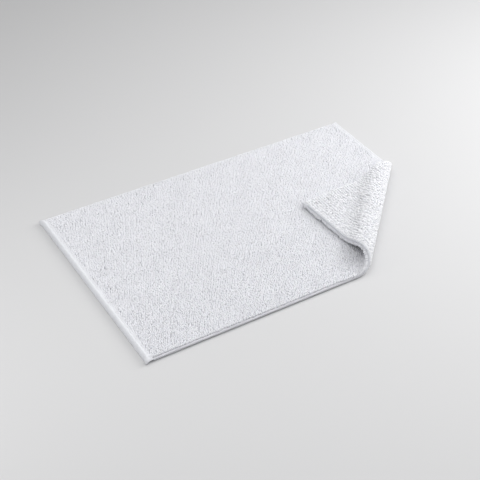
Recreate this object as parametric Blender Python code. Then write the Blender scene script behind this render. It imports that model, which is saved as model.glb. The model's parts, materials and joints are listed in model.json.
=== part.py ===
"""A thick cotton bath mat that lies flat, with one corner turned over onto it in a soft roll.

The mat is a ground cloth with loop pile on both faces and a turned hem along each side, held by a seam.
The turned corner is modelled as a row of narrow strips between the lying panel and the flap. Each strip
is joined to the next one by a hinge that lies in the middle of the ground cloth, the layer that keeps
its length when the mat bends, so the whole corner opens flat without a gap and without an overlap.

Frame: metres, +X along the mat, +Z up, origin on the floor under the middle of the mat.
"""

import math

import bmesh
import bpy
from mathutils import Matrix, Vector

# Overall size of the mat, lying open.
LENGTH = 0.850
WIDTH = 0.550
CORNER_RADIUS = 0.012

# Layers, from the floor up. Neighbouring layers keep LAYER_GAP between them.
UNDER_PILE = 0.0060
GROUND_CLOTH = 0.0020
TOP_PILE = 0.0070
LAYER_GAP = 0.0003

# Hems. The short sides wear a band on both faces, the long sides are turned to the underside only.
SHORT_HEM = 0.0140
SHORT_HEM_BELOW_PILE = 0.0020
LONG_HEM = 0.0120
HEM_LIFT = 0.0012
HEM_WALL = 0.0030
HEM_ROUNDING = 0.0030

# Seams: one strand along each hem.
SEAM_THREAD = 0.0006
SHORT_SEAM_INSET = 0.0100
LONG_SEAM_INSET = 0.0090

# The turned corner: how much of the near long side and of the right short side is turned over,
# the radius of the roll at the ground cloth, and the slope at which the mat comes back down.
TURNED_OF_LONG_SIDE = 0.326
TURNED_OF_SHORT_SIDE = 0.341
ROLL_RADIUS = 0.021
NECK_SLOPE = math.radians(36.0)
ROLL_HINGES = 6
HINGE_GAP = 0.0005
REST_CLEARANCE = 0.0003

# Heights that follow from the layers.
GROUND_LOW = UNDER_PILE + LAYER_GAP
GROUND_HIGH = GROUND_LOW + GROUND_CLOTH
TOP_PILE_LOW = GROUND_HIGH + LAYER_GAP
THICKNESS = TOP_PILE_LOW + TOP_PILE
NEUTRAL = (GROUND_LOW + GROUND_HIGH) / 2
SHORT_HEM_HIGH = THICKNESS - SHORT_HEM_BELOW_PILE

# The fold's directions: along the fold line, and outward from the lying panel.
ALONG = Vector((TURNED_OF_LONG_SIDE, TURNED_OF_SHORT_SIDE, 0)).normalized()
OUTWARD = Vector((ALONG.y, -ALONG.x, 0))
FOLD_MIDDLE = Vector(
    (
        LENGTH / 2 - TURNED_OF_LONG_SIDE / 2,
        -WIDTH / 2 + TURNED_OF_SHORT_SIDE / 2,
        NEUTRAL,
    )
)

# Distances outward from the fold line, measured along the ground cloth.
TURN = (math.pi + NECK_SLOPE) / ROLL_HINGES
STRIP = ROLL_RADIUS * TURN
ROLL_RISE = STRIP * sum(math.sin(k * TURN) for k in range(1, ROLL_HINGES))
FLAP_RISE = 2 * (THICKNESS - NEUTRAL) + REST_CLEARANCE
NECK = (ROLL_RISE - FLAP_RISE) / math.sin(NECK_SLOPE)
ROLL_HINGE_PLACES = [STRIP * (k + 0.5) for k in range(ROLL_HINGES)]
HEEL_PLACE = ROLL_HINGE_PLACES[-1] + NECK

# Every hinge, in order: its place, its turn at rest, and the face that lies inside the bend.
TOP_INSIDE = 1
UNDERSIDE_INSIDE = -1
HINGES = [(place, TURN, TOP_INSIDE) for place in ROLL_HINGE_PLACES]
HINGES.append((HEEL_PLACE, NECK_SLOPE, UNDERSIDE_INSIDE))
ZONES = ["base"] + [f"roll_{k}" for k in range(1, ROLL_HINGES)] + ["neck", "flap"]

# Colours: a cool cotton white, and the same cotton a little brighter where it is woven flat.
PILE_WHITE = (0.80, 0.80, 0.84, 1)
CLOTH_WHITE = (0.84, 0.84, 0.87, 1)
THREAD_WHITE = (0.88, 0.88, 0.90, 1)

CORNER_CUTS = 3
THREAD_SIDES = 8
HEM_SEGMENTS = 3
CUT_TOLERANCE = 1e-7


def clear_scene():
    """Removes whatever the file held before."""
    for obj in list(bpy.data.objects):
        bpy.data.objects.remove(obj, do_unlink=True)


def make_material(name, color, roughness):
    """A matt cotton."""
    material = bpy.data.materials.new(name)
    material.use_nodes = True
    shader = material.node_tree.nodes["Principled BSDF"]
    shader.inputs["Base Color"].default_value = color
    shader.inputs["Roughness"].default_value = roughness
    shader.inputs["Metallic"].default_value = 0.0
    material.diffuse_color = color
    return material


def slab(low, high):
    """A box between two corners."""
    bm = bmesh.new()
    bmesh.ops.create_cube(bm, size=1.0)
    size = high - low
    bmesh.ops.scale(bm, vec=size, verts=bm.verts)
    bmesh.ops.translate(bm, vec=(low + high) / 2, verts=bm.verts)
    return bm


def layer(low, high, short_inset, long_inset):
    """A layer of the whole open mat, drawn in from the short and the long sides."""
    reach = Vector((LENGTH / 2 - short_inset, WIDTH / 2 - long_inset, 0))
    return slab(Vector((-reach.x, -reach.y, low)), Vector((reach.x, reach.y, high)))


def side_frame(side):
    """The middle of a side of the mat, the way in from it, and the way along it."""
    inward = {
        "left": Vector((1, 0, 0)),
        "right": Vector((-1, 0, 0)),
        "near": Vector((0, 1, 0)),
        "far": Vector((0, -1, 0)),
    }[side]
    middle = Vector((-inward.x * LENGTH / 2, -inward.y * WIDTH / 2, 0))
    return middle, inward, Vector((0, 0, 1)).cross(inward)


def run_along(side, profile, half_length, rounded=0):
    """A profile of (distance in from the edge, height) points, run along a side of the mat.

    The first `rounded` points are the outer corners, whose long edges are rounded.
    """
    middle, inward, along = side_frame(side)
    bm = bmesh.new()
    start = middle - along * half_length
    rim = [bm.verts.new(start + inward * inset + Vector((0, 0, z))) for inset, z in profile]
    face = bm.faces.new(rim)
    grown = bmesh.ops.extrude_face_region(bm, geom=[face])["geom"]
    moved = [v for v in grown if isinstance(v, bmesh.types.BMVert)]
    bmesh.ops.translate(bm, vec=along * 2 * half_length, verts=moved)
    bmesh.ops.recalc_face_normals(bm, faces=bm.faces)
    if rounded:
        corners = rim[:rounded]
        edges = [e for v in corners for e in v.link_edges if e.calc_length() > half_length]
        bmesh.ops.bevel(
            bm,
            geom=edges,
            affect="EDGES",
            offset=HEM_ROUNDING,
            offset_type="OFFSET",
            segments=HEM_SEGMENTS,
            profile=0.5,
            material=-1,
        )
    return bm


def short_hem(side):
    """A band folded round the ground cloth's edge, seen on both faces."""
    slot_low = GROUND_LOW - LAYER_GAP
    slot_high = TOP_PILE_LOW
    profile = [
        (0, HEM_LIFT),
        (0, SHORT_HEM_HIGH),
        (SHORT_HEM, SHORT_HEM_HIGH),
        (SHORT_HEM, slot_high),
        (HEM_WALL, slot_high),
        (HEM_WALL, slot_low),
        (SHORT_HEM, slot_low),
        (SHORT_HEM, HEM_LIFT),
    ]
    return run_along(side, profile, WIDTH / 2, rounded=2)


def long_hem(side):
    """The ground cloth's edge turned to the underside, below the pile that runs to the edge."""
    slot_low = GROUND_LOW - LAYER_GAP
    profile = [
        (0, HEM_LIFT),
        (0, GROUND_HIGH),
        (HEM_WALL, GROUND_HIGH),
        (HEM_WALL, slot_low),
        (LONG_HEM, slot_low),
        (LONG_HEM, HEM_LIFT),
    ]
    return run_along(side, profile, LENGTH / 2 - SHORT_HEM - LAYER_GAP, rounded=1)


def seam(side, inset, height, half_length):
    """One strand that runs along a hem."""
    radius = SEAM_THREAD / 2
    angles = [2 * math.pi * k / THREAD_SIDES for k in range(THREAD_SIDES)]
    profile = [(inset + radius * math.cos(a), height + radius * math.sin(a)) for a in angles]
    return run_along(side, profile, half_length)


def short_seam(side):
    """The seam on top of a short side's band."""
    height = SHORT_HEM_HIGH + LAYER_GAP + SEAM_THREAD / 2
    return seam(side, SHORT_SEAM_INSET, height, WIDTH / 2 - CORNER_RADIUS)


def long_seam(side):
    """The seam on the underside of a long side's hem."""
    height = HEM_LIFT - LAYER_GAP - SEAM_THREAD / 2
    return seam(side, LONG_SEAM_INSET, height, LENGTH / 2 - SHORT_HEM - LAYER_GAP)


def cut(bm, point, normal):
    """Removes what lies on the normal's side of a plane, and closes the cut."""
    cut_edges = bmesh.ops.bisect_plane(
        bm,
        geom=bm.verts[:] + bm.edges[:] + bm.faces[:],
        dist=CUT_TOLERANCE,
        plane_co=point,
        plane_no=normal,
        clear_outer=True,
    )["geom_cut"]
    edges = [e for e in cut_edges if isinstance(e, bmesh.types.BMEdge)]
    if edges:
        bmesh.ops.holes_fill(bm, edges=edges, sides=0)


def round_corners(bm):
    """Takes off the mat's four corners with a few planes that touch the corner arc."""
    for x_sign in (-1, 1):
        for y_sign in (-1, 1):
            centre = Vector(
                (
                    x_sign * (LENGTH / 2 - CORNER_RADIUS),
                    y_sign * (WIDTH / 2 - CORNER_RADIUS),
                    0,
                )
            )
            for k in range(CORNER_CUTS):
                angle = math.pi / 2 * (k + 1) / (CORNER_CUTS + 1)
                normal = Vector((x_sign * math.cos(angle), y_sign * math.sin(angle), 0))
                cut(bm, centre + normal * CORNER_RADIUS, normal)


def hinge_planes(hinge, way):
    """The two planes that end a zone at a hinge.

    way is 1 where the zone lies inward of the hinge and -1 where it lies outward. One plane stands
    upright. The other leans away by half of the turn on the face inside the bend, which leaves
    room for the neighbour when the mat is bent, and both meet at the ground cloth's middle.
    """
    place, turn, inside = hinge
    point = FOLD_MIDDLE + OUTWARD * (place - way * HINGE_GAP / 2)
    lean = Vector((0, 0, inside * math.sin(turn / 2)))
    return [(point, OUTWARD * way), (point, OUTWARD * way * math.cos(turn / 2) + lean)]


def cut_to_zone(bm, index):
    """Keeps only the part of an open-mat shape that belongs to one zone."""
    if index > 0:
        for point, normal in hinge_planes(HINGES[index - 1], -1):
            cut(bm, point, normal)
    if index < len(HINGES):
        for point, normal in hinge_planes(HINGES[index], 1):
            cut(bm, point, normal)


def add_object(name, bm, material, collection, zone_empties, index):
    """Makes the object of one piece, with its origin on its own hinge."""
    pivot = FOLD_MIDDLE + OUTWARD * HINGES[index - 1][0] if index else Vector((0, 0, 0))
    bmesh.ops.translate(bm, vec=-pivot, verts=bm.verts)
    bmesh.ops.recalc_face_normals(bm, faces=bm.faces)
    mesh = bpy.data.meshes.new(name)
    bm.to_mesh(mesh)
    bm.free()
    mesh.shade_smooth()
    mesh.set_sharp_from_angle(angle=math.radians(40))
    mesh.materials.append(material)
    obj = bpy.data.objects.new(name, mesh)
    collection.objects.link(obj)
    obj.parent = zone_empties[index]
    return obj


def make_zone_empties(collection):
    """One empty for each zone, chained from hinge to hinge and turned to the folded pose."""
    base = bpy.data.objects.new("frame_base", None)
    collection.objects.link(base)
    empties = [base]
    previous = FOLD_MIDDLE * 0
    for (place, turn, inside), zone in zip(HINGES, ZONES[1:]):
        pivot = FOLD_MIDDLE + OUTWARD * place
        empty = bpy.data.objects.new(f"frame_{zone}", None)
        collection.objects.link(empty)
        empty.parent = empties[-1]
        empty.empty_display_size = 0.02
        turned = Matrix.Rotation(-inside * turn, 4, ALONG)
        empty.matrix_local = Matrix.Translation(pivot - previous) @ turned
        empties.append(empty)
        previous = pivot
    return empties


def zone_pieces(zone):
    """The pieces of one zone, each as its name's ending, its maker and its colour."""
    short_clear = SHORT_HEM + LAYER_GAP
    long_clear = LONG_HEM + LAYER_GAP
    wall_clear = HEM_WALL + LAYER_GAP
    pieces = [
        (
            "ground_cloth",
            lambda: layer(GROUND_LOW, GROUND_HIGH, wall_clear, wall_clear),
            CLOTH_WHITE,
        ),
        (
            "top_pile",
            lambda: layer(TOP_PILE_LOW, THICKNESS, short_clear, 0),
            PILE_WHITE,
        ),
        (
            "under_pile",
            lambda: layer(0, UNDER_PILE, short_clear, long_clear),
            PILE_WHITE,
        ),
        ("near_hem", lambda: long_hem("near"), CLOTH_WHITE),
        ("right_hem", lambda: short_hem("right"), CLOTH_WHITE),
    ]
    if zone in ("base", "flap"):
        pieces.append(("near_seam", lambda: long_seam("near"), THREAD_WHITE))
        pieces.append(("right_seam", lambda: short_seam("right"), THREAD_WHITE))
    if zone == "base":
        pieces.append(("far_hem", lambda: long_hem("far"), CLOTH_WHITE))
        pieces.append(("left_hem", lambda: short_hem("left"), CLOTH_WHITE))
        pieces.append(("far_seam", lambda: long_seam("far"), THREAD_WHITE))
        pieces.append(("left_seam", lambda: short_seam("left"), THREAD_WHITE))
    return pieces


def main():
    clear_scene()
    collection = bpy.data.collections.new("bath_mat")
    bpy.context.scene.collection.children.link(collection)
    empties = make_zone_empties(collection)
    for index, zone in enumerate(ZONES):
        for ending, make, color in zone_pieces(zone):
            name = f"{zone}_{ending}"
            bm = make()
            round_corners(bm)
            cut_to_zone(bm, index)
            material = make_material(name, color, 0.95)
            add_object(name, bm, material, collection, empties, index)
    bpy.context.view_layer.update()


main()
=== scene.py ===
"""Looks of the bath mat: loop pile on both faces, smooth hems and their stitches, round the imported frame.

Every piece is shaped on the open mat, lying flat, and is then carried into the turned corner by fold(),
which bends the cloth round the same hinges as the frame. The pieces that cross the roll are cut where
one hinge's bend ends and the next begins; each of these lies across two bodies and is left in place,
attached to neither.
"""

import json
import math

import bmesh
import bpy
import numpy as np
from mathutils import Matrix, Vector


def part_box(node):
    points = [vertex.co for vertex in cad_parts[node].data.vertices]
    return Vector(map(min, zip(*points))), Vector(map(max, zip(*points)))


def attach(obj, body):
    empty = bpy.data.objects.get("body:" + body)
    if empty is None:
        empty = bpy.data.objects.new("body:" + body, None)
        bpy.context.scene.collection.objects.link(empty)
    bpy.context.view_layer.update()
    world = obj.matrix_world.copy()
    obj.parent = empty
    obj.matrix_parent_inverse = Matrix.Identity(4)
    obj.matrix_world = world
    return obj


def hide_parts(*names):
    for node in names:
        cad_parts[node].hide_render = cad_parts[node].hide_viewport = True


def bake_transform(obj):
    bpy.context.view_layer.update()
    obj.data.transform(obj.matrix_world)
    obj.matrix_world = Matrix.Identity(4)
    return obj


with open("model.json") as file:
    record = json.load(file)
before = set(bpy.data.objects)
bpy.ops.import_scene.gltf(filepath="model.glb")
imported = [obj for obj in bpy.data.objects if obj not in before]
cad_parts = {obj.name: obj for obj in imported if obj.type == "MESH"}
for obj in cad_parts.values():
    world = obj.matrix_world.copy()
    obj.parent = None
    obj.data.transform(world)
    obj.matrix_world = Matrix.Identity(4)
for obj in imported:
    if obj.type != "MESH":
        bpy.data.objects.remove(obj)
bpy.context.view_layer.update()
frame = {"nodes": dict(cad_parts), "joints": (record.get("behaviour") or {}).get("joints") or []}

UP = np.array([0.0, 0.0, 1.0])

# Sizes read off the frame.
chain = frame["joints"]
hinge_points = [np.array(j["pos_m"]) for j in chain]
ALONG = np.array(chain[0]["axis"]) / np.linalg.norm(chain[0]["axis"])
OUTWARD = np.array([ALONG[1], -ALONG[0], 0.0])
TURN = math.radians(chain[0]["range_deg"][1])
SLOPE = math.radians(chain[-1]["range_deg"][1])
STRIP = float(np.linalg.norm(hinge_points[1] - hinge_points[0]))
NECK = float(np.linalg.norm(hinge_points[-1] - hinge_points[-2]))
NEUTRAL = float(hinge_points[0][2])
FOLD_POINT = hinge_points[0] - OUTWARD * STRIP / 2
ROLL_HINGES = len(chain) - 1

left_low, left_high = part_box("base_left_hem")
near_low, near_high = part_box("base_near_hem")
HALF_LENGTH = -left_low.x
HALF_WIDTH = left_high.y
SHORT_HEM = left_high.x - left_low.x
SHORT_HEM_HIGH = left_high.z
LONG_HEM = near_high.y - near_low.y
LONG_HEM_HIGH = near_high.z
GROUND_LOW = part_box("base_ground_cloth")[0].z
GROUND_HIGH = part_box("base_ground_cloth")[1].z
PILE_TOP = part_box("base_top_pile")[1].z
SHORT_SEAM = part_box("base_left_seam")[0].x + HALF_LENGTH
LONG_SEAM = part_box("base_near_seam")[0].y + HALF_WIDTH

# How low the hems' cloth reaches under the ground cloth.
SHORT_LOW = GROUND_LOW - 0.0010
LONG_LOW = GROUND_LOW - 0.0040

# The soft version of the roll: one arc for each hinge, and a wider arc where the flap comes to rest.
ROLL_RADIUS = STRIP / 2 / math.tan(TURN / 2)
ROLL_END = ROLL_HINGES * STRIP
ROLL_TURN = ROLL_HINGES * TURN
HEEL = (ROLL_HINGES - 0.5) * STRIP + NECK
HEEL_REACH = 0.014
HEEL_START = HEEL - HEEL_REACH
HEEL_END = HEEL + HEEL_REACH
HEEL_RADIUS = HEEL_REACH / math.tan(SLOPE / 2)

# Hems: how far a corner of the mat reaches, how a hem thins at its ends, and the waves in its cloth.
CORNER_REACH = 0.012
END_ROUNDING = 0.010
END_THICKNESS = 0.35
HEM_STEP = 0.004
HEM_PUFF = 0.00035
HEM_WAVE = 0.02
SIDE_SEEDS = {"left": 3, "right": 5, "near": 7, "far": 9}

# Stitches: one is a bead of thread, a pitch from the next, and it sinks into the hem.
STITCH = (0.0032, 0.0010, 0.0010)
STITCH_PITCH = 0.0042
STITCH_SINK = 0.0008
STITCH_TURN = 0.06

# Pile: a loop is one arch of yarn with its root sunk in the ground cloth, a pitch from the next loop.
FINE_PITCH = 0.0042
COARSE_PITCH = 0.0068
ROOT_SINK = 0.0006
FINE_YARN = 0.0038
FINE_SPAN = 0.0030
PLAIN_YARN = 0.0040
PLAIN_SPAN = 0.0042
PLAIN_CURL = 0.0008
CURLY_YARN = 0.0034
CURLY_SPAN = 0.0046
CURLY_CURL = 0.0016
CURLY_GROWTH = 1.04

# How far in from the long sides the top pile starts, where the mat lies and where it is turned over, and how
# far in from the right side. Over LYING_FADE from the fold, the first inset becomes the second.
LYING_INSET = 0.0055
TURNED_INSET = 0.0012
LYING_FADE = 0.04
RIGHT_INSET = 0.0058

# Disorder of the pile, and how the turned-over rows at the long sides stand out over the hem.
ROOT_SPREAD = 0.22
WIDTHS = (0.85, 1.15)
HEIGHTS = (0.93, 1.0)
TURN_SPREAD = 0.50
TURN_DRIFT = 0.2
LEAN = 0.09
LEAN_DRIFT = 0.03
EDGE_LEAN = 0.50
EDGE_GROWTH = 0.12
SEED = 20

# The ground cloth's edge lies inside the hems.
CLOTH_INSET = 0.0033

rng = np.random.default_rng(SEED)


def fold(points):
    """Carries points of the open mat, as (x, y, height) rows, to where they lie with the corner turned."""
    p = np.asarray(points, float)
    away = p - FOLD_POINT
    u = away @ OUTWARD
    v = away @ ALONG
    rise = p[:, 2] - NEUTRAL
    neck_out, neck_up = ROLL_RADIUS * math.sin(ROLL_TURN), ROLL_RADIUS * (1 - math.cos(ROLL_TURN))
    heel_out = neck_out + (HEEL_START - ROLL_END) * math.cos(ROLL_TURN)
    heel_up = neck_up + (HEEL_START - ROLL_END) * math.sin(ROLL_TURN)
    roll = np.clip(u / STRIP * TURN, 0, ROLL_TURN)
    heel = np.clip((u - HEEL_START) / (2 * HEEL_REACH), 0, 1) * SLOPE
    angle = roll - heel
    out = np.where(u < 0, u, ROLL_RADIUS * np.sin(roll))
    up = ROLL_RADIUS * (1 - np.cos(roll))
    on_neck = np.clip(u - ROLL_END, 0, HEEL_START - ROLL_END)
    out = out + on_neck * math.cos(ROLL_TURN)
    up = up + on_neck * math.sin(ROLL_TURN)
    bent = u > HEEL_START
    # The heel's arc turns back, so its centre lies on the cloth's outer side.
    heel_dx = -HEEL_RADIUS * (np.sin(ROLL_TURN - heel) - math.sin(ROLL_TURN))
    heel_dz = HEEL_RADIUS * (np.cos(ROLL_TURN - heel) - math.cos(ROLL_TURN))
    out = np.where(bent, heel_out + heel_dx, out)
    up = np.where(bent, heel_up + heel_dz, up)
    out = out - np.clip(u - HEEL_END, 0, None)
    base = FOLD_POINT + np.outer(v, ALONG)
    return (
        base
        + np.outer(out - rise * np.sin(angle), OUTWARD)
        + np.outer(up + rise * np.cos(angle), UP)
    )


# Zones: a name, the start and end outward from the fold line, the bodies, and the frame's name for it.
FAR = 1.0
ZONES = [("base", -FAR, 0.0, ["root"], "base")]
bodies = ["root"] + [j["child"] for j in chain]
for k in range(ROLL_HINGES):
    end = (k + 1) * STRIP if k < ROLL_HINGES - 1 else HEEL_START
    ZONES.append((f"bend_{k + 1}", k * STRIP, end, bodies[k : k + 2], bodies[k + 1]))
ZONES.append(("heel", HEEL_START, HEEL_END, bodies[-2:], None))
ZONES.append(("flap", HEEL_END, FAR, [bodies[-1]], "flap"))


# Materials.


def new_material(name, color, roughness, sheen):
    material = bpy.data.materials.new(name)
    material.use_nodes = True
    shader = material.node_tree.nodes["Principled BSDF"]
    shader.inputs["Base Color"].default_value = (*color, 1)
    shader.inputs["Roughness"].default_value = roughness
    shader.inputs["Specular IOR Level"].default_value = 0.15
    shader.inputs["Sheen Weight"].default_value = sheen
    shader.inputs["Sheen Roughness"].default_value = 0.6
    return material, shader


def node(material, kind, **values):
    """A new shader node with its properties and its inputs' values set."""
    made = material.node_tree.nodes.new(kind)
    for name, value in values.items():
        if name in made.inputs:
            made.inputs[name].default_value = value
        else:
            setattr(made, name, value)
    return made


def join(material, source, target):
    material.node_tree.links.new(source, target)


def mottled(material, fac, low, high):
    """A colour that runs from low to high with fac."""
    ramp = node(material, "ShaderNodeValToRGB")
    ramp.color_ramp.elements[0].position = 0.3
    ramp.color_ramp.elements[0].color = (*low, 1)
    ramp.color_ramp.elements[1].position = 0.7
    ramp.color_ramp.elements[1].color = (*high, 1)
    join(material, fac, ramp.inputs["Fac"])
    return ramp.outputs["Color"]


def yarn_material(name, root_shade_color, low, high, twist):
    """Cotton loop yarn: plied, fuzzy, uneven from loop to loop, with painted shade that darkens it towards
    its root.
    """
    material, shader = new_material(name, high, 0.95, 0.25)
    shader.inputs["Subsurface Weight"].default_value = 0.6
    shader.inputs["Subsurface Radius"].default_value = (1.0, 1.0, 1.0)
    shader.inputs["Subsurface Scale"].default_value = 0.004
    coordinates = node(material, "ShaderNodeTexCoord")
    tone = node(material, "ShaderNodeAttribute", attribute_name="tone")
    rise = node(material, "ShaderNodeAttribute", attribute_name="rise")
    shade = mottled(material, tone.outputs["Fac"], low, high)
    # Painted shade: the colour is mixed towards the darker root colour low on each loop, where the pile
    # shades its own roots.
    root = node(material, "ShaderNodeMix", data_type="RGBA")
    join(material, rise.outputs["Fac"], root.inputs["Factor"])
    root.inputs["A"].default_value = (*root_shade_color, 1)
    join(material, shade, root.inputs["B"])
    join(material, root.outputs["Result"], shader.inputs["Base Color"])
    plies = node(material, "ShaderNodeTexWave", bands_direction="DIAGONAL", Scale=twist)
    plies.inputs["Distortion"].default_value = 1.5
    join(material, coordinates.outputs["UV"], plies.inputs["Vector"])
    fuzz = node(material, "ShaderNodeTexNoise", Scale=1400.0, Detail=3.0)
    join(material, coordinates.outputs["Object"], fuzz.inputs["Vector"])
    both = node(material, "ShaderNodeMath", operation="ADD")
    join(material, plies.outputs["Fac"], both.inputs[0])
    join(material, fuzz.outputs["Fac"], both.inputs[1])
    bump = node(material, "ShaderNodeBump", Strength=0.35, Distance=0.0003)
    join(material, both.outputs["Value"], bump.inputs["Height"])
    join(material, bump.outputs["Normal"], shader.inputs["Normal"])
    return material


def woven_material(name, low, high, threads_per_metre):
    """Flat-woven cotton: fine threads across each other, with slow patches of tone."""
    material, shader = new_material(name, high, 0.9, 0.2)
    coordinates = node(material, "ShaderNodeTexCoord")
    warp = node(material, "ShaderNodeTexWave", bands_direction="X", Scale=threads_per_metre)
    weft = node(material, "ShaderNodeTexWave", bands_direction="Y", Scale=threads_per_metre)
    for threads in (warp, weft):
        threads.inputs["Distortion"].default_value = 0.8
        join(material, coordinates.outputs["UV"], threads.inputs["Vector"])
    weave = node(material, "ShaderNodeMath", operation="MULTIPLY")
    join(material, warp.outputs["Fac"], weave.inputs[0])
    join(material, weft.outputs["Fac"], weave.inputs[1])
    patches = node(material, "ShaderNodeTexNoise", Scale=60.0, Detail=4.0)
    join(material, coordinates.outputs["Object"], patches.inputs["Vector"])
    shade = mottled(material, patches.outputs["Fac"], low, high)
    join(material, shade, shader.inputs["Base Color"])
    bump = node(material, "ShaderNodeBump", Strength=0.6, Distance=0.0003)
    join(material, weave.outputs["Value"], bump.inputs["Height"])
    join(material, bump.outputs["Normal"], shader.inputs["Normal"])
    return material


# The first colour of each yarn is painted shade at the loops' roots.
fine_yarn = yarn_material(
    "fine_loop_yarn", (0.78, 0.785, 0.83), (0.79, 0.795, 0.84), (0.82, 0.825, 0.865), 3.0
)
coarse_yarn = yarn_material(
    "coarse_loop_yarn", (0.86, 0.865, 0.90), (0.885, 0.89, 0.925), (0.91, 0.915, 0.945), 4.0
)
hem_cloth = woven_material("hem_cloth", (0.74, 0.75, 0.785), (0.78, 0.79, 0.825), 300.0)
# A darker copy of the hem cloth, for the long sides' hems: painted shade for faces that turn away from the
# light.
shaded_hem_cloth = woven_material("shaded_hem_cloth", (0.61, 0.62, 0.655), (0.65, 0.66, 0.695), 260.0)
ground_weave = woven_material("ground_weave", (0.84, 0.84, 0.87), (0.88, 0.88, 0.91), 220.0)
seam_thread, _ = new_material("seam_thread", (0.86, 0.86, 0.89), 0.7, 0.1)


# Making and placing pieces.


def finish_piece(piece, zone, ending):
    """Attaches a piece to its body where it has only one, and hides the frame's node that it stands for,
    where there is one.
    """
    name, start, end, riders, cad_zone = zone
    if len(riders) == 1:
        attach(piece, riders[0])
    else:
        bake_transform(piece)
    if cad_zone and ending and f"{cad_zone}_{ending}" in frame["nodes"]:
        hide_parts(f"{cad_zone}_{ending}")
    return piece


def object_of(name, mesh, material):
    mesh.materials.append(material)
    piece = bpy.data.objects.new(name, mesh)
    bpy.context.scene.collection.objects.link(piece)
    return piece


def in_zone(points, zone):
    """Which points of the open mat lie in a zone."""
    u = (np.asarray(points) - FOLD_POINT) @ OUTWARD
    return (u >= zone[1]) & (u < zone[2])


def wander(x, y, scale, seed, waves=7):
    """A smooth random height, mostly between -1 and 1, with hills about `scale` metres wide."""
    pick = np.random.default_rng(seed)
    total = np.zeros(np.shape(x))
    for _ in range(waves):
        direction = pick.uniform(0, 2 * math.pi)
        length = scale * pick.uniform(0.7, 2.0)
        phase = pick.uniform(0, 2 * math.pi)
        reach = x * math.cos(direction) + y * math.sin(direction)
        total += np.sin(2 * math.pi * reach / length + phase)
    return total / math.sqrt(waves)


def loop_shape(span, height, yarn, sides, bends, curl=0.0):
    """One loop of yarn as an arch: (points, faces, how far along and round the yarn each corner is)."""
    bm = bmesh.new()
    bmesh.ops.create_circle(bm, cap_ends=False, segments=sides, radius=yarn / 2)
    bmesh.ops.translate(bm, vec=(-span / 2, 0, 0), verts=bm.verts)
    bmesh.ops.spin(
        bm,
        geom=bm.edges[:],
        cent=(0, 0, 0),
        axis=(0, 1, 0),
        dvec=(0, 0, 0),
        angle=math.pi,
        steps=bends,
        use_duplicate=False,
    )
    bmesh.ops.holes_fill(bm, edges=[e for e in bm.edges if e.is_boundary], sides=0)
    bmesh.ops.recalc_face_normals(bm, faces=bm.faces)
    reach = span / 2 + yarn / 2
    bmesh.ops.scale(bm, vec=(1, 1, height / reach), verts=bm.verts)
    for v in bm.verts:
        v.co.y += curl * math.sin(v.co.x / reach * math.pi)
    bm.verts.index_update()
    points = np.array([v.co for v in bm.verts])
    faces = [[v.index for v in f.verts] for f in bm.faces]
    along = np.arctan2(points[:, 2] / height, points[:, 0] / reach) / math.pi
    around = np.arctan2(points[:, 1], np.hypot(points[:, 0], points[:, 2] * reach / height) - span / 2)
    uv = np.stack([along * 4, around / (2 * math.pi)], 1)
    bm.free()
    return points, faces, uv


def copies(name, shape, roots, yaw, size, lean, underneath, material):
    """Many copies of one small shape, turned, sized and leaned one by one, in one mesh on the folded mat."""
    points, faces, uv = shape
    count = len(roots)
    c, s = np.cos(yaw)[:, None], np.sin(yaw)[:, None]
    x = points[None, :, 0] * size[:, None, 0]
    y = points[None, :, 1] * size[:, None, 1]
    z = points[None, :, 2] * size[:, None, 2]
    turned = np.stack([x * c - y * s, x * s + y * c, z], 2)
    turned[:, :, :2] += lean[:, None, :] * z[:, :, None]
    if underneath:
        turned[:, :, 1:] *= -1
    placed = fold((turned + roots[:, None, :]).reshape(-1, 3))
    mesh = bpy.data.meshes.new(name)
    sizes = np.array([len(f) for f in faces])
    corners = np.concatenate([np.array(f) for f in faces])
    per_copy = len(points)
    all_corners = (corners[None, :] + np.arange(count)[:, None] * per_copy).ravel()
    all_sizes = np.tile(sizes, count)
    mesh.vertices.add(per_copy * count)
    mesh.vertices.foreach_set("co", placed.astype(np.float32).ravel())
    mesh.loops.add(len(all_corners))
    mesh.loops.foreach_set("vertex_index", all_corners.astype(np.int32))
    mesh.polygons.add(len(all_sizes))
    starts = np.concatenate([[0], np.cumsum(all_sizes)[:-1]])
    mesh.polygons.foreach_set("loop_start", starts.astype(np.int32))
    mesh.update(calc_edges=True)
    layer = mesh.uv_layers.new(name="yarn")
    layer.data.foreach_set("uv", np.tile(uv[corners], (count, 1)).astype(np.float32).ravel())
    tone = mesh.attributes.new("tone", "FLOAT", "POINT")
    tones = np.repeat(rng.uniform(0.2, 0.8, count), per_copy)
    tone.data.foreach_set("value", tones.astype(np.float32))
    # Rise runs from 0 at a loop's root to 1 at its top; the yarn uses it to place the painted shade at the
    # roots.
    rise = mesh.attributes.new("rise", "FLOAT", "POINT")
    share = np.clip(points[:, 2] / points[:, 2].max(), 0, 1)
    rise.data.foreach_set("value", np.tile(share, count).astype(np.float32))
    mesh.shade_smooth()
    return object_of(name, mesh, material)


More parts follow.
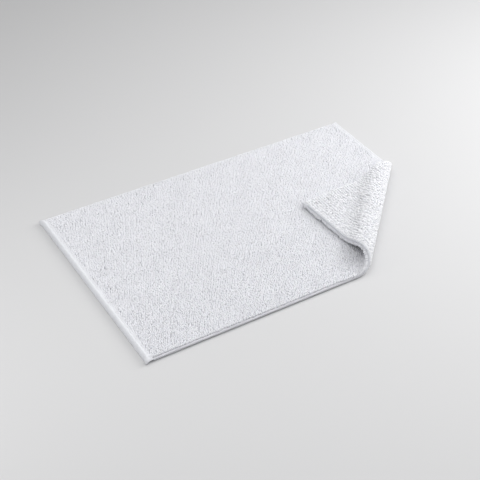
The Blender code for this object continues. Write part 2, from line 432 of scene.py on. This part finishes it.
def rooted(pitch, short_inset, long_inset, seed):
    """Root points of a pile on the open mat: rows a pitch apart, each root moved a little off its place."""
    pick = np.random.default_rng(seed)
    columns = int(2 * (HALF_LENGTH - short_inset) / pitch) + 1
    rows = int(2 * (HALF_WIDTH - long_inset) / pitch) + 1
    gx, gy = np.meshgrid(
        np.linspace(-HALF_LENGTH + short_inset, HALF_LENGTH - short_inset, columns),
        np.linspace(-HALF_WIDTH + long_inset, HALF_WIDTH - long_inset, rows),
    )
    gx = gx + np.where(np.arange(rows) % 2 == 0, 0.25, -0.25)[:, None] * pitch
    spread = ROOT_SPREAD * pitch
    x = (gx + pick.uniform(-spread, spread, gx.shape)).ravel()
    y = (gy + pick.uniform(-spread, spread, gy.shape)).ravel()
    reach_x, reach_y = HALF_LENGTH - short_inset, HALF_WIDTH - long_inset
    x = np.clip(x, -reach_x, reach_x)
    y = np.clip(y, -reach_y, reach_y)
    return np.stack([x, y, np.zeros(len(x))], 1)


def pile(face, pitch, shapes, short_inset, long_inset, seed, pieces_of):
    """One face's whole pile, split into its zones and, where it is large, into several pieces."""
    underneath = face == "under"
    roots = rooted(pitch, short_inset, long_inset, seed)
    roots[:, 2] = (GROUND_LOW + ROOT_SINK) if underneath else (GROUND_HIGH - ROOT_SINK)
    material = coarse_yarn if underneath else fine_yarn
    made = []
    for zone in ZONES:
        here = roots[in_zone(roots, zone)]
        if face == "top":
            lying = np.clip((FOLD_POINT - here) @ OUTWARD / LYING_FADE, 0, 1)
            inset = TURNED_INSET + (LYING_INSET - TURNED_INSET) * lying
            here[:, 1] *= (HALF_WIDTH - inset) / (HALF_WIDTH - long_inset)
            right = (HALF_LENGTH - RIGHT_INSET) / (HALF_LENGTH - short_inset)
            here[:, 0] *= np.where(here[:, 0] > 0, right, 1)
        shape = shapes[zone[0]] if zone[0] in shapes else shapes["other"]
        order = np.argsort(here[:, 0], kind="stable")
        parts = np.array_split(order, pieces_of.get(zone[0], 1))
        for i, part in enumerate(parts):
            mine = here[part]
            count = len(mine)
            pick = np.random.default_rng([seed, ZONES.index(zone), i])
            x, y = mine[:, 0], mine[:, 1]
            yaw = pick.normal(0.0, TURN_SPREAD, count) + TURN_DRIFT * wander(x, y, 0.05, seed + 1)
            size = np.stack(
                [
                    pick.uniform(*WIDTHS, count),
                    pick.uniform(*WIDTHS, count),
                    pick.uniform(*HEIGHTS, count) * (0.98 + 0.01 * wander(x, y, 0.06, seed + 2)),
                ],
                1,
            )
            lean = np.stack(
                [
                    LEAN_DRIFT * wander(x, y, 0.04, seed + 3) + pick.normal(0, LEAN, count),
                    LEAN_DRIFT * wander(x, y, 0.04, seed + 4) + pick.normal(0, LEAN, count),
                ],
                1,
            )
            if face == "top" and zone[0] != "base":
                at_edge = np.clip(1.5 - (HALF_WIDTH - TURNED_INSET - np.abs(y)) / FINE_PITCH, 0, 1)
                lean[:, 1] += np.sign(y) * EDGE_LEAN * at_edge
                size[:, 2] *= 1 + EDGE_GROWTH * at_edge
            ending = f"{face}_loops" + (f"_{i + 1}" if len(parts) > 1 else "")
            piece = copies(f"{zone[0]}_{ending}", shape, mine, yaw, size, lean, underneath, material)
            finish_piece(piece, zone, f"{face}_pile" if i == 0 else "")
            made.append((zone[0], piece))
    return made


# Cloth pieces cut from the open mat.


def keep_zone(bm, zone, strips=1, closed=False):
    """Cuts an open-mat mesh to one zone, into strips where the zone bends, and closes its ends if asked."""
    _, start, end, riders, _ = zone

    def slice_at(u, **sides):
        geom = bm.verts[:] + bm.edges[:] + bm.faces[:]
        point = FOLD_POINT + OUTWARD * u
        return bmesh.ops.bisect_plane(
            bm, geom=geom, dist=1e-7, plane_co=point, plane_no=OUTWARD, **sides
        )["geom_cut"]

    for u, sides in ((start, {"clear_inner": True}), (end, {"clear_outer": True})):
        if abs(u) < FAR:
            edges = [e for e in slice_at(u, **sides) if isinstance(e, bmesh.types.BMEdge)]
            open_edges = [e for e in edges if e.is_boundary]
            if open_edges and closed:
                bmesh.ops.holes_fill(bm, edges=open_edges, sides=0)
    if len(riders) > 1:
        for k in range(1, strips):
            slice_at(start + (end - start) * k / strips)


def folded_mesh(bm, name):
    """The mesh of an open-mat bmesh, carried onto the folded mat, with flat UVs in metres."""
    layer = bm.loops.layers.uv.new("cloth")
    for f in bm.faces:
        for corner in f.loops:
            corner[layer].uv = (corner.vert.co.x + corner.vert.co.z, corner.vert.co.y + corner.vert.co.z)
    mesh = bpy.data.meshes.new(name)
    bm.to_mesh(mesh)
    bm.free()
    co = np.zeros(len(mesh.vertices) * 3)
    mesh.vertices.foreach_get("co", co)
    mesh.vertices.foreach_set("co", fold(co.reshape(-1, 3)).astype(np.float32).ravel())
    mesh.update()
    mesh.shade_smooth()
    return mesh


def ground_cloth(zone):
    """The woven ground, one layer that Solidify gives its thickness, and its flat size and area."""
    bm = bmesh.new()
    bmesh.ops.create_grid(bm, x_segments=12, y_segments=8, size=1.0)
    half_sides = HALF_LENGTH - CLOTH_INSET, HALF_WIDTH - CLOTH_INSET
    bmesh.ops.scale(bm, vec=(*half_sides, 1), verts=bm.verts)
    bmesh.ops.translate(bm, vec=(0, 0, NEUTRAL), verts=bm.verts)
    keep_zone(bm, zone, strips=6)
    area = sum(f.calc_area() for f in bm.faces)
    co = np.array([v.co for v in bm.verts]) - FOLD_POINT
    across, along = np.ptp(co @ OUTWARD), np.ptp(co @ ALONG)
    if zone[0] == "base":
        across, along = 2 * half_sides[0], 2 * half_sides[1]
    name = f"{zone[0]}_ground_cloth"
    piece = object_of(name, folded_mesh(bm, name), ground_weave)
    solidify = piece.modifiers.new("thickness", "SOLIDIFY")
    solidify.thickness = GROUND_HIGH - GROUND_LOW
    solidify.offset = 0
    finish_piece(piece, zone, "ground_cloth")
    return piece, (across, along), area


def side_frame(side):
    """Where a side of the mat starts, its direction, the way in from it, and its length."""
    inward = {"left": (1, 0), "right": (-1, 0), "near": (0, 1), "far": (0, -1)}[side]
    inward = np.array([*inward, 0.0])
    along = np.cross(UP, inward)
    middle = -inward * np.array([HALF_LENGTH, HALF_WIDTH, 0])
    half = HALF_WIDTH if side in ("left", "right") else HALF_LENGTH - SHORT_HEM
    return middle - along * half, along, inward, 2 * half


def softened(points, times=2):
    """A closed outline with its corners cut again and again, until it is round."""
    for _ in range(times):
        nexts = points[1:] + points[:1]
        points = [
            (a[0] + (b[0] - a[0]) * t, a[1] + (b[1] - a[1]) * t)
            for a, b in zip(points, nexts)
            for t in (0.25, 0.75)
        ]
    return points


def short_section(foot, foot_width):
    """A short side's hem, as (inset, height) points: it wraps the edge and lies on top, with a dipped seam.

    Its outer edge goes down to a foot, at the given height and of the given width.
    """
    top, width = SHORT_HEM_HIGH, SHORT_HEM + 0.002
    return softened([
        (0.0000, foot + 0.0012),
        (0.0006, 0.0070),
        (0.0020, 0.0118),
        (0.0056, top + 0.0010),
        (SHORT_SEAM, top - 0.0008),
        (width - 0.0020, top),
        (width, GROUND_HIGH),
        (width - 0.0020, SHORT_LOW),
        (foot_width + 0.0024, SHORT_LOW),
        (foot_width, foot + 0.0002),
        (0.0004, foot),
    ])


def long_section():
    """A long side's hem: a lip along the edge, and a flat band under the pile."""
    return softened([
        (0.0000, 0.0038),
        (0.0000, 0.0080),
        (0.0016, LONG_HEM_HIGH + 0.0006),
        (0.0032, LONG_HEM_HIGH - 0.0008),
        (LONG_HEM, LONG_HEM_HIGH - 0.0006),
        (LONG_HEM, SHORT_LOW),
        (LONG_SEAM, LONG_LOW + 0.0006),
        (0.0020, LONG_LOW),
    ])


def hem(side, outline):
    """A side's whole hem on the open mat: its outline run along the side, thinner at both ends."""
    start, along, inward, length = side_frame(side)
    bm = bmesh.new()
    rim = [bm.verts.new(start + inward * i + UP * z) for i, z in outline]
    edges = [bm.edges.new((a, b)) for a, b in zip(rim, rim[1:] + rim[:1])]
    steps = round(length / HEM_STEP)
    for _ in range(steps):
        grown = bmesh.ops.extrude_edge_only(bm, edges=edges)["geom"]
        edges = [e for e in grown if isinstance(e, bmesh.types.BMEdge) and e.is_boundary]
        verts = {v for e in edges for v in e.verts}
        bmesh.ops.translate(bm, vec=along * length / steps, verts=list(verts))
    bmesh.ops.holes_fill(bm, edges=[e for e in bm.edges if e.is_boundary], sides=0)
    bmesh.ops.recalc_face_normals(bm, faces=bm.faces)
    for v in bm.verts:
        reach = float((np.array(v.co) - start) @ along)
        puff = HEM_PUFF * wander(np.array(reach), np.array(0.0), HEM_WAVE, SIDE_SEEDS[side])
        v.co.z += float(puff) * (1 if v.co.z > NEUTRAL else -1)
        to_end = max(min(reach, length - reach) / END_ROUNDING, 0)
        if to_end < 1:
            share = END_THICKNESS + (1 - END_THICKNESS) * math.sqrt(1 - (1 - to_end) ** 2)
            v.co.z = NEUTRAL + (v.co.z - NEUTRAL) * share
    draw_out_corners(bm)
    return bm


def draw_out_corners(bm):
    """Draws the hems out to a soft point at the mat's corners."""
    for v in bm.verts:
        over_x = abs(v.co.x) - (HALF_LENGTH - CORNER_REACH)
        over_y = abs(v.co.y) - (HALF_WIDTH - CORNER_REACH)
        if over_x > 0 and over_y > 0:
            flare = 1 - max(over_x, over_y) / math.hypot(over_x, over_y)
            v.co.x += math.copysign(over_x * flare, v.co.x)
            v.co.y += math.copysign(over_y * flare, v.co.y)


SIDE_ZONES = {"left": ["base"], "far": ["base"]}
whole_hems = {
    "left": hem("left", short_section(0.0002, 0.0046)),
    "right": hem("right", short_section(0.0042, 0.0030)),
    "near": hem("near", long_section()),
    "far": hem("far", long_section()),
}


def hems(zone):
    """The hems that a zone has."""
    made = []
    for side, whole in whole_hems.items():
        if zone[0] not in SIDE_ZONES.get(side, [zone[0]]):
            continue
        bm = whole.copy()
        keep_zone(bm, zone, closed=True)
        if not bm.faces:
            bm.free()
            continue
        name = f"{zone[0]}_{side}_hem"
        # The long sides' hems take the darker copy of the hem cloth: painted shade.
        cloth = hem_cloth if side in ("left", "right") else shaded_hem_cloth
        piece = object_of(name, folded_mesh(bm, name), cloth)
        finish_piece(piece, zone, f"{side}_hem")
        made.append(piece)
    return made


def stitch_shape():
    """One stitch: a short soft bead of thread."""
    bm = bmesh.new()
    bmesh.ops.create_icosphere(bm, subdivisions=1, radius=0.5)
    bmesh.ops.scale(bm, vec=STITCH, verts=bm.verts)
    bm.verts.index_update()
    points = np.array([v.co for v in bm.verts])
    faces = [[v.index for v in f.verts] for f in bm.faces]
    bm.free()
    return points, faces, points[:, :2] * 1000


def stitches(zone, side):
    """The row of stitches along one side's hem in one zone."""
    start, along, inward, length = side_frame(side)
    short = side in ("left", "right")
    inset = SHORT_SEAM if short else LONG_SEAM
    count = int((length - 2 * CORNER_REACH) / STITCH_PITCH)
    reach = CORNER_REACH + (np.arange(count) + 0.5) * STITCH_PITCH
    line = start + inward * inset + np.outer(reach, along)
    rows = [line + UP * (SHORT_HEM_HIGH - STITCH_SINK)] if short else []
    low = SHORT_LOW + STITCH_SINK if short else LONG_LOW + STITCH_SINK / 2
    rows.append(line + UP * low)
    roots = np.concatenate(rows)
    roots = roots[in_zone(roots, zone)]
    if not len(roots):
        return None
    yaw = np.full(len(roots), math.atan2(along[1], along[0])) + rng.normal(0, STITCH_TURN, len(roots))
    ones = np.ones((len(roots), 3))
    lean = np.zeros((len(roots), 2))
    name = f"{zone[0]}_{side}_stitches"
    piece = copies(name, stitch_shape(), roots, yaw, ones, lean, False, seam_thread)
    return finish_piece(piece, zone, f"{side}_seam")


# The mat.

top_height = PILE_TOP - GROUND_HIGH + ROOT_SINK
under_height = GROUND_LOW + ROOT_SINK
fine_loop = loop_shape(FINE_SPAN, top_height, FINE_YARN, sides=5, bends=4)
curly_height = CURLY_GROWTH * under_height
plain_loop = loop_shape(PLAIN_SPAN, under_height, PLAIN_YARN, sides=5, bends=4, curl=PLAIN_CURL)
curly_loop = loop_shape(CURLY_SPAN, curly_height, CURLY_YARN, sides=6, bends=7, curl=CURLY_CURL)

top_loops = pile(
    "top",
    FINE_PITCH,
    {"other": fine_loop},
    short_inset=0.0100,
    long_inset=0.0030,
    seed=101,
    pieces_of={"base": 7},
)
under_loops = pile(
    "under",
    COARSE_PITCH,
    {"base": plain_loop, "other": curly_loop},
    short_inset=0.0040,
    long_inset=0.0050,
    seed=202,
    pieces_of={"base": 3},
)

for zone in ZONES:
    cloth, flat, area = ground_cloth(zone)
    on_it = [p for z, p in top_loops + under_loops if z == zone[0]]
    on_it += hems(zone)
    sides = [s for s in ("left", "right", "near", "far") if zone[0] in SIDE_ZONES.get(s, [zone[0]])]
    on_it += [p for p in (stitches(zone, s) for s in sides) if p]


# The room: a pale floor, soft light from above and from three sides, and the camera.


def floor():
    material, _ = new_material("floor", (0.62, 0.62, 0.625), 0.7, 0.0)
    bm = bmesh.new()
    bmesh.ops.create_grid(bm, x_segments=1, y_segments=1, size=8.0)
    mesh = bpy.data.meshes.new("floor")
    bm.to_mesh(mesh)
    bm.free()
    plane = object_of("floor", mesh, material)


def area_light(name, place, target, size, power):
    light = bpy.data.lights.new(name, "AREA")
    light.shape = "SQUARE"
    light.size = size
    light.energy = power
    lamp = bpy.data.objects.new(name, light)
    lamp.location = place
    lamp.rotation_euler = (Vector(target) - Vector(place)).to_track_quat("-Z", "Y").to_euler()
    bpy.context.scene.collection.objects.link(lamp)


def studio():
    floor()
    world = bpy.data.worlds.new("studio")
    world.use_nodes = True
    world.node_tree.nodes["Background"].inputs["Color"].default_value = (1.0, 1.0, 1.0, 1)
    world.node_tree.nodes["Background"].inputs["Strength"].default_value = 0.40
    bpy.context.scene.world = world
    area_light("overhead", (0.4, 0.001, 1.8), (0.4, 0.0, 0.0), 2.4, 15)
    area_light("key", (1.775, -0.313, 1.262), (0.1, 0.0, 0.0), 1.3, 29)
    area_light("fill", (-0.997, 0.0, 0.465), (-0.3, 0.0, 0.0), 1.0, 2.2)
    area_light("front", (-0.886, -1.480, 2.453), (0.0, 0.0, 0.0), 2.0, 16)
    bpy.context.scene.view_settings.view_transform = "Standard"
    camera = bpy.data.cameras.new("camera")
    camera.lens = 83.27
    camera.sensor_width = 36
    seen_from = Vector((-1.0951, -1.7650, 1.5999))
    direction = Vector((0.4037, 0.6746, -0.6181))
    eye = bpy.data.objects.new("camera", camera)
    eye.location = seen_from
    eye.rotation_euler = direction.to_track_quat("-Z", "Y").to_euler()
    bpy.context.scene.collection.objects.link(eye)
    bpy.context.scene.camera = eye


studio()
